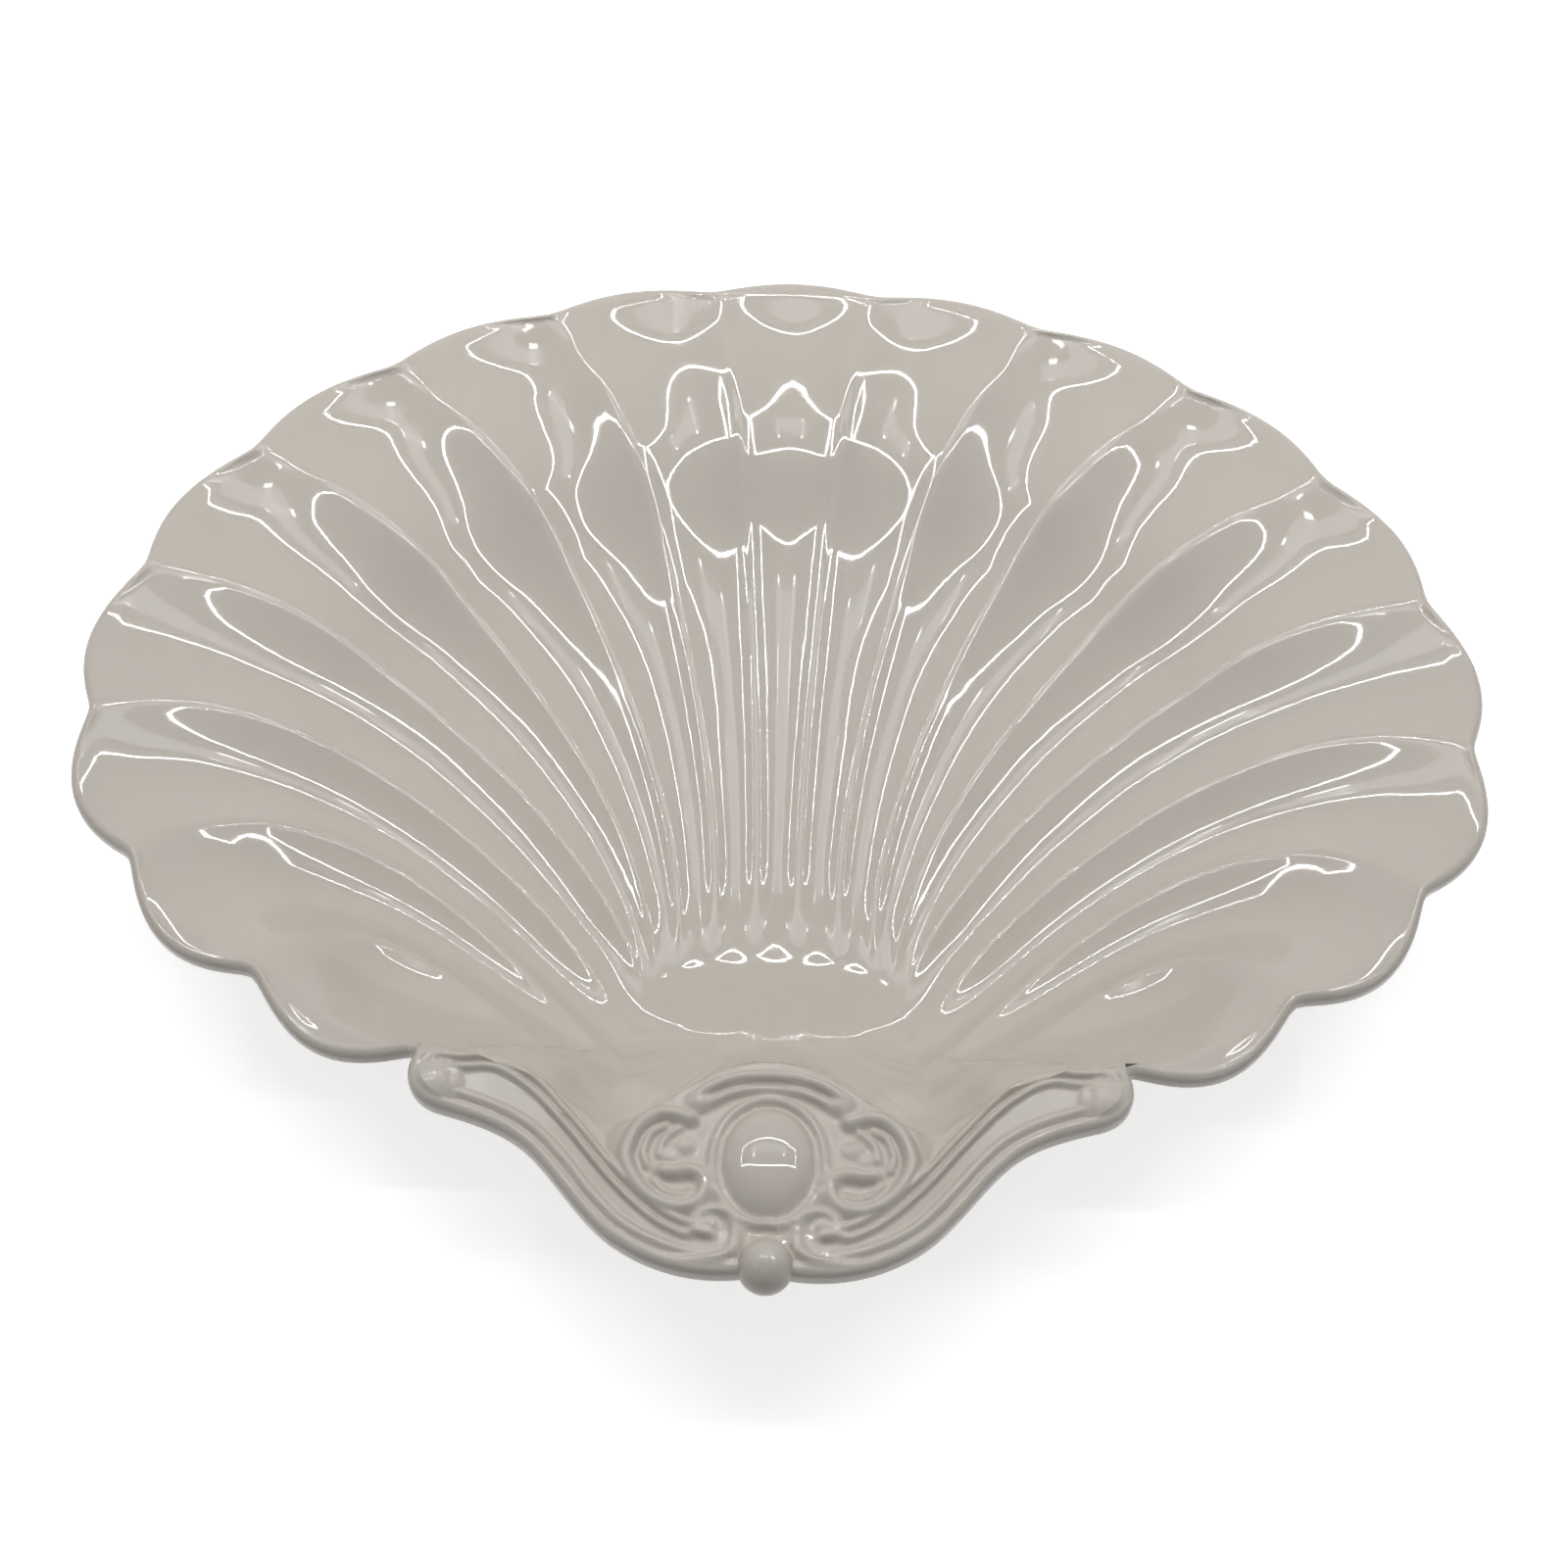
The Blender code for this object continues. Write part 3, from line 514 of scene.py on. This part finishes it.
# The rim is rounded all round. The underside follows the flutes at the wall's thickness and a low
# oval ring carries the platter. Each row of the mesh goes once round it, from the top to the foot.
WALL = 0.006
RIM_RADIUS = 0.0022
RIM_STEPS = 6
UNDER_SHARES = np.linspace(1, 0.43, 24)
FOOT_SHARES = np.linspace(0, 1, 14)[1:]
FOOT_Y = 0.134
FOOT_HALF_WIDTH = 0.064
FOOT_HALF_DEPTH = 0.052
FOOT_WIDTH = 0.007
FOOT_STAND = 0.0025
FOOT_EDGE = 0.0008
UNDER_FOOT_INSETS = (FOOT_WIDTH, FOOT_WIDTH + 0.010, FOOT_WIDTH + 0.025)
FLUTE_ALLOWANCE = 0.005     # keeps the wall outside the foot clear of the flutes
ground = -WELL_DEPTH - WALL - FOOT_STAND

rim_edge = np.concatenate([rim_plan(fan_lobes), hinge_edge(hinge_alongs)])
rim_level = np.concatenate([fan_surface(fan_lobes, np.ones(len(fan_lobes)))[1], np.zeros(len(hinge_alongs))])
along_rim = np.roll(rim_edge, -1, axis=0) - np.roll(rim_edge, 1, axis=0)
rim_inwards = unit(np.stack([-along_rim[:, 1], along_rim[:, 0]], -1))


def add_row(plan, level):
    sections.append(np.concatenate([plan, level[..., None]], -1)[:, None])


rim_top = rim_level + np.where(np.arange(len(rim_edge)) >= len(fan_lobes), LIP_RIDGE[1], 0.0)
rim_turns = np.linspace(0, pi / 2, RIM_STEPS)
for turn in rim_turns:
    add_row(rim_edge + rim_inwards * (RIM_RADIUS * (1 - sin(turn))), rim_top - RIM_RADIUS * (1 - cos(turn)))
for turn in rim_turns[::-1]:
    add_row(rim_edge + rim_inwards * (RIM_RADIUS * (1 - sin(turn))),
            rim_level - WALL + RIM_RADIUS * (1 - cos(turn)))

fan_under, fan_under_level = fan_surface(fan_lobes[:, None] + 0 * UNDER_SHARES, fan_end * UNDER_SHARES)
plate_under = plate_surface(*np.meshgrid(hinge_alongs, UNDER_SHARES, indexing="ij"))
under_plan = np.concatenate([fan_under, plate_under])
under_level = np.concatenate([fan_under_level, np.zeros(plate_under.shape[:2])])
under_level -= web_sink(under_plan) + WALL
sections.append(np.concatenate([under_plan, under_level[..., None]], -1))


def foot_plan(towards, inset):
    """Points of the foot's oval that lie towards others."""
    way = towards - (0.0, FOOT_Y)
    half_width, half_depth = FOOT_HALF_WIDTH - inset, FOOT_HALF_DEPTH - inset
    reach = 1 / np.hypot(way[:, 0] / half_width, way[:, 1] / half_depth)
    return np.array((0.0, FOOT_Y)) + way * reach[:, None]


last_row = under_plan[:, -1]
foot_root = foot_plan(last_row, 0.0)
for share in FOOT_SHARES:
    plan = last_row + (foot_root - last_row) * share
    add_row(plan, bowl_level(plan) - web_sink(plan) - WALL - FLUTE_ALLOWANCE * (1 - share ** 2))
outer_edge = ((0.0, FOOT_EDGE), (FOOT_EDGE / 3, FOOT_EDGE / 3), (FOOT_EDGE, 0.0))
inner_edge = [(FOOT_WIDTH - inset, rise) for inset, rise in outer_edge[::-1]]
for inset, rise in (*outer_edge, *inner_edge):
    add_row(foot_plan(last_row, inset), np.full(len(last_row), ground + rise))
for inset in UNDER_FOOT_INSETS:
    plan = foot_plan(last_row, inset)
    add_row(plan, bowl_level(plan) - WALL)

# The knob is a ball at the front of the plate, sunk into it, and closed in itself.
KNOB_RADIUS = 0.0065
KNOB_LEVEL = -0.0010
KNOB_RINGS = 28
KNOB_TURNS = 56
tilts = np.linspace(0, pi, KNOB_RINGS + 1)[1:-1]
turns = np.linspace(0, 2 * pi, KNOB_TURNS, endpoint=False)
turn, tilt = np.meshgrid(turns, tilts, indexing="ij")
knob_ways = np.stack([np.sin(tilt) * np.cos(turn), np.sin(tilt) * np.sin(turn), np.cos(tilt)], -1)
knob_middle = np.array([0.0, KNOB_RADIUS, KNOB_LEVEL])


def closed_shell(rows, first_pole, last_pole, first_index):
    """Vertices and faces of rows that go round a shell, with a fan of triangles at either end."""
    around, deep = rows.shape[:2]
    index = np.arange(around * deep).reshape(around, deep) + first_index
    after = np.roll(index, -1, axis=0)
    quads = np.stack([index[:, :-1], index[:, 1:], after[:, 1:], after[:, :-1]], -1).reshape(-1, 4)
    start, end = first_index + around * deep, first_index + around * deep + 1
    ends = [(start, a, b) for a, b in zip(index[:, 0].tolist(), after[:, 0].tolist())]
    ends += [(b, a, end) for a, b in zip(index[:, -1].tolist(), after[:, -1].tolist())]
    return np.concatenate([rows.reshape(-1, 3), [first_pole, last_pole]]), quads.tolist() + ends


well_middle = (0.0, WELL_Y, -WELL_DEPTH)
foot_middle = (0.0, FOOT_Y, bowl_level(np.array([[0.0, FOOT_Y]]))[0] - WALL)
body_vertices, body_faces = closed_shell(np.concatenate(sections, axis=1), well_middle, foot_middle, 0)
knob_pole = np.array([0.0, 0.0, KNOB_RADIUS])
knob_vertices, knob_faces = closed_shell(KNOB_RADIUS * knob_ways + knob_middle, knob_middle + knob_pole,
                                         knob_middle - knob_pole, len(body_vertices))

PLAN_Y = platter_high.y - (RIM_WIDEST_Y + RIM_BACK + BULGE_BACK)
vertices = np.concatenate([body_vertices, knob_vertices]) + (0.0, PLAN_Y, RIM_Z)
platter_mesh = bpy.data.meshes.new("platter")
platter_mesh.from_pydata(vertices.tolist(), [], body_faces + knob_faces)
platter_mesh.validate()
platter_mesh.shade_smooth()
platter = bpy.data.objects.new("platter", platter_mesh)
bpy.context.scene.collection.objects.link(platter)


# The glaze is a warm white, clear and very glossy, a little greener where it has pooled, with few
# iron specks, and lies in faint waves. The foot's standing face is wiped dry before firing.
class Link:
    """A socket in a node tree. Sums, products and comparisons of links add Math nodes."""

    def __init__(self, tree, socket=None):
        self.tree, self.socket = tree, socket

    def node(self, kind, settings=None, inputs=None, output=0):
        made = self.tree.nodes.new(kind)
        for name, value in (settings or {}).items():
            setattr(made, name, value)
        for name, value in (inputs or {}).items():
            if isinstance(value, Link):
                self.tree.links.new(value.socket, made.inputs[name])
            else:
                made.inputs[name].default_value = value
        return Link(self.tree, made.outputs[output])

    def sibling(self, output):
        """Another output of the same node."""
        return Link(self.tree, self.socket.node.outputs[output])

    def feed(self, socket):
        self.tree.links.new(self.socket, socket)

    def math(self, operation, a, b=0.0):
        return self.node("ShaderNodeMath", {"operation": operation}, {0: a, 1: b})

    def __add__(self, other):
        return self.math("ADD", self, other)

    def __radd__(self, other):
        return self.math("ADD", other, self)

    def __sub__(self, other):
        return self.math("SUBTRACT", self, other)

    def __rsub__(self, other):
        return self.math("SUBTRACT", other, self)

    def __mul__(self, other):
        return self.math("MULTIPLY", self, other)

    def __rmul__(self, other):
        return self.math("MULTIPLY", other, self)

    def __pow__(self, other):
        return self.math("POWER", self, other)

    def __lt__(self, other):
        return self.math("LESS_THAN", self, other)

    def __gt__(self, other):
        return self.math("GREATER_THAN", self, other)

    def mix(self, low, high):
        """A colour between two, with this link as the share of the second."""
        return self.node("ShaderNodeMix", {"data_type": "RGBA"}, {0: self, 6: low, 7: high}, output=2)

    def seen_directly(self):
        """1 for the camera's own rays and for those that come by a mirror or through glass."""
        camera = self.node("ShaderNodeLightPath", output="Is Camera Ray")
        mirrored_too = self.math("MAXIMUM", camera, camera.sibling("Is Glossy Ray"))
        return self.math("MAXIMUM", mirrored_too, camera.sibling("Is Transmission Ray"))


GLAZE_COLOUR = (0.525, 0.479, 0.428, 1.0)
POOLED_COLOUR = (0.495, 0.463, 0.410, 1.0)
SPECK_COLOUR = (0.16, 0.12, 0.09, 1.0)
BARE_COLOUR = (0.60, 0.53, 0.44, 1.0)
POOL_SCALE = 16.0
SPECK_SCALE = 14.0
SPECK_SIZE = 0.008
SPECK_RARITY = 0.55         # share of the cells that stay clean
WIPED_HEIGHT = 0.0007
GLOSS = 0.03                # roughness of the clear glaze
POOL_DULLNESS = 0.02
BARE_DULLNESS = 0.6
GLAZE_IOR = 1.52
SWELL_SCALE = 32.0
RIPPLE_SCALE = 110.0
RIPPLE_SHARE = 0.25
WAVE_HEIGHT = 0.00014

glaze = bpy.data.materials.new("white_glaze")
glaze.use_nodes = True
shader = glaze.node_tree.nodes["Principled BSDF"]
link = Link(glaze.node_tree)
place = link.node("ShaderNodeTexCoord", output="Object")
pooled = link.node("ShaderNodeTexNoise", {}, {"Vector": place, "Scale": POOL_SCALE, "Detail": 3.0,
                                              "Roughness": 0.55})
cell = link.node("ShaderNodeTexVoronoi", {}, {"Vector": place, "Scale": SPECK_SCALE})
chance = link.node("ShaderNodeSeparateColor", {}, {"Color": cell.sibling("Color")})
speck = (cell < SPECK_SIZE) * (chance > SPECK_RARITY)
bare = link.node("ShaderNodeSeparateXYZ", {}, {"Vector": place}, output="Z") < WIPED_HEIGHT
colour = speck.mix(pooled.mix(GLAZE_COLOUR, POOLED_COLOUR), SPECK_COLOUR)
bare.mix(colour, BARE_COLOUR).feed(shader.inputs["Base Color"])
(GLOSS + pooled * POOL_DULLNESS + bare * BARE_DULLNESS).feed(shader.inputs["Roughness"])
shader.inputs["IOR"].default_value = GLAZE_IOR
swell = link.node("ShaderNodeTexNoise", {}, {"Vector": place, "Scale": SWELL_SCALE, "Detail": 1.0})
ripple = link.node("ShaderNodeTexNoise", {}, {"Vector": place, "Scale": RIPPLE_SCALE, "Detail": 1.0})
waves = link.node("ShaderNodeBump", {}, {"Strength": 1.0, "Distance": WAVE_HEIGHT,
                                         "Height": swell + ripple * RIPPLE_SHARE})
waves.feed(shader.inputs["Normal"])
platter_mesh.materials.append(glaze)

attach(platter, "root")
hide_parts("shell_platter")

# The platter stands on a sheet of white paper. The paper takes its shadow, and glows only to the
# camera and in what mirrors it, so that the ground comes out white and lights nothing.
FLOOR_REACH = 3.0
PAPER_COLOUR = (0.86, 0.86, 0.86, 1.0)
PAPER_ROUGHNESS = 0.9
PAPER_GLOW = 0.68
floor_corners = [(x * FLOOR_REACH, y * FLOOR_REACH, 0) for x, y in ((-1, -1), (1, -1), (1, 1), (-1, 1))]
floor_mesh = bpy.data.meshes.new("floor")
floor_mesh.from_pydata(floor_corners, [], [(0, 1, 2, 3)])
floor = bpy.data.objects.new("floor", floor_mesh)
bpy.context.scene.collection.objects.link(floor)
paper = bpy.data.materials.new("paper")
paper.use_nodes = True
sheet = paper.node_tree.nodes["Principled BSDF"]
sheet.inputs["Base Color"].default_value = PAPER_COLOUR
sheet.inputs["Roughness"].default_value = PAPER_ROUGHNESS
sheet.inputs["Specular IOR Level"].default_value = 0.0
lit_sheet = Link(paper.node_tree, sheet.outputs["BSDF"])
glow = lit_sheet.node("ShaderNodeEmission", {}, {"Strength": lit_sheet.seen_directly() * PAPER_GLOW})
both = lit_sheet.node("ShaderNodeAddShader", {}, {0: lit_sheet, 1: glow})
both.feed(paper.node_tree.nodes["Material Output"].inputs["Surface"])
floor_mesh.materials.append(paper)

# Four strips of small lamps form a rectangle over the bowl. The glaze mirrors them as the dotted
# loops and lines in the flutes.
RING_MIDDLE = (0.0, 0.1825, 0.62)
RING_HALF = (0.44, 0.1225)
STRIP_WIDTH = 0.008
STRIP_POWER = 1.25          # watts of a long strip
LAMP_PITCH = 0.0085
LAMP_SHARPNESS = 2.0
LAMP_STRENGTH = 2.4
BETWEEN_LAMPS = 0.1
LONG, SHORT = RING_HALF
for name, x, y, half_length, turned in (("front", 0, -1, LONG, 0), ("back", 0, 1, LONG, 0),
                                        ("left", -1, 0, SHORT, 1), ("right", 1, 0, SHORT, 1)):
    lamp = bpy.data.lights.new(name + "_strip", "AREA")
    lamp.shape = "RECTANGLE"
    lamp.size, lamp.size_y = 2 * half_length, STRIP_WIDTH
    lamp.energy = STRIP_POWER * half_length / LONG
    lamp.use_nodes = True
    strip = Link(lamp.node_tree)
    on_strip = strip.node("ShaderNodeNewGeometry", output="Parametric")
    across = strip.node("ShaderNodeSeparateXYZ", {}, {"Vector": on_strip}, output="X")
    wave = strip.math("SINE", across * (2 * pi * 2 * half_length / LAMP_PITCH))
    spots = (wave * 0.5 + 0.5) ** LAMP_SHARPNESS
    (spots * LAMP_STRENGTH + BETWEEN_LAMPS).feed(lamp.node_tree.nodes["Emission"].inputs["Strength"])
    holder = bpy.data.objects.new(name + "_strip", lamp)
    holder.location = (RING_MIDDLE[0] + x * LONG, RING_MIDDLE[1] + y * SHORT, RING_MIDDLE[2])
    holder.rotation_euler = (0, 0, turned * pi / 2)
    bpy.context.scene.collection.objects.link(holder)

# Weak panes inside the rectangle brighten the flutes' ridges: place, width, depth and watts.
PANES = ((0.0, 0.19, 0.40, 0.08, 0.16), (-0.15, 0.185, 0.03, 0.10, 0.16), (0.15, 0.185, 0.03, 0.10, 0.16))
for x, y, wide, deep, power in PANES:
    pane_lamp = bpy.data.lights.new("pane", "AREA")
    pane_lamp.shape = "RECTANGLE"
    pane_lamp.size, pane_lamp.size_y = wide, deep
    pane_lamp.energy = power
    pane = bpy.data.objects.new("pane", pane_lamp)
    pane.location = (x, y, RING_MIDDLE[2])
    bpy.context.scene.collection.objects.link(pane)

# The room's soft light comes more from above and from the back. To the camera, and in mirrors,
# the room is plain white.
ROOM_BASE = 0.16
ROOM_FROM_ABOVE = 0.20
ROOM_FROM_BACK = 0.13
ROOM_LEAST = 0.1
world = bpy.data.worlds.new("studio")
world.use_nodes = True
bpy.context.scene.world = world
background = world.node_tree.nodes["Background"]
background.inputs["Color"].default_value = (1.0, 1.0, 1.0, 1.0)
room_link = Link(world.node_tree)
towards = room_link.node("ShaderNodeTexCoord", output="Generated")
upward = room_link.node("ShaderNodeSeparateXYZ", {}, {"Vector": towards}, output="Z")
room = upward * ROOM_FROM_ABOVE + upward.sibling("Y") * ROOM_FROM_BACK + ROOM_BASE
room = room_link.math("MAXIMUM", room, ROOM_LEAST)
direct = room_link.seen_directly()
(direct + (1.0 - direct) * room).feed(background.inputs["Strength"])

# The camera looks down from in front of the hinge, turned a little about its own axis.
ELEVATION = radians(58)
ROLL = radians(1.7)
FIELD = radians(32)
DISTANCE = 0.6845
TARGET = Vector((0.0010, 0.1346 + PLAN_Y, RIM_Z))
SENSOR_WIDTH = 36.0
sideways = Vector((1, 0, 0))
forward = Vector((0, cos(ELEVATION), -sin(ELEVATION)))
upwards = Vector((0, sin(ELEVATION), cos(ELEVATION)))
camera_right = sideways * cos(ROLL) + upwards * sin(ROLL)
camera_up = upwards * cos(ROLL) - sideways * sin(ROLL)
camera_data = bpy.data.cameras.new("camera")
camera_data.sensor_width = SENSOR_WIDTH
camera_data.lens = SENSOR_WIDTH / 2 / tan(FIELD / 2)
camera = bpy.data.objects.new("camera", camera_data)
camera.matrix_world = Matrix((camera_right, camera_up, -forward)).transposed().to_4x4()
camera.location = TARGET - forward * DISTANCE
bpy.context.scene.collection.objects.link(camera)
bpy.context.scene.camera = camera
bpy.context.scene.view_settings.view_transform = "Standard"
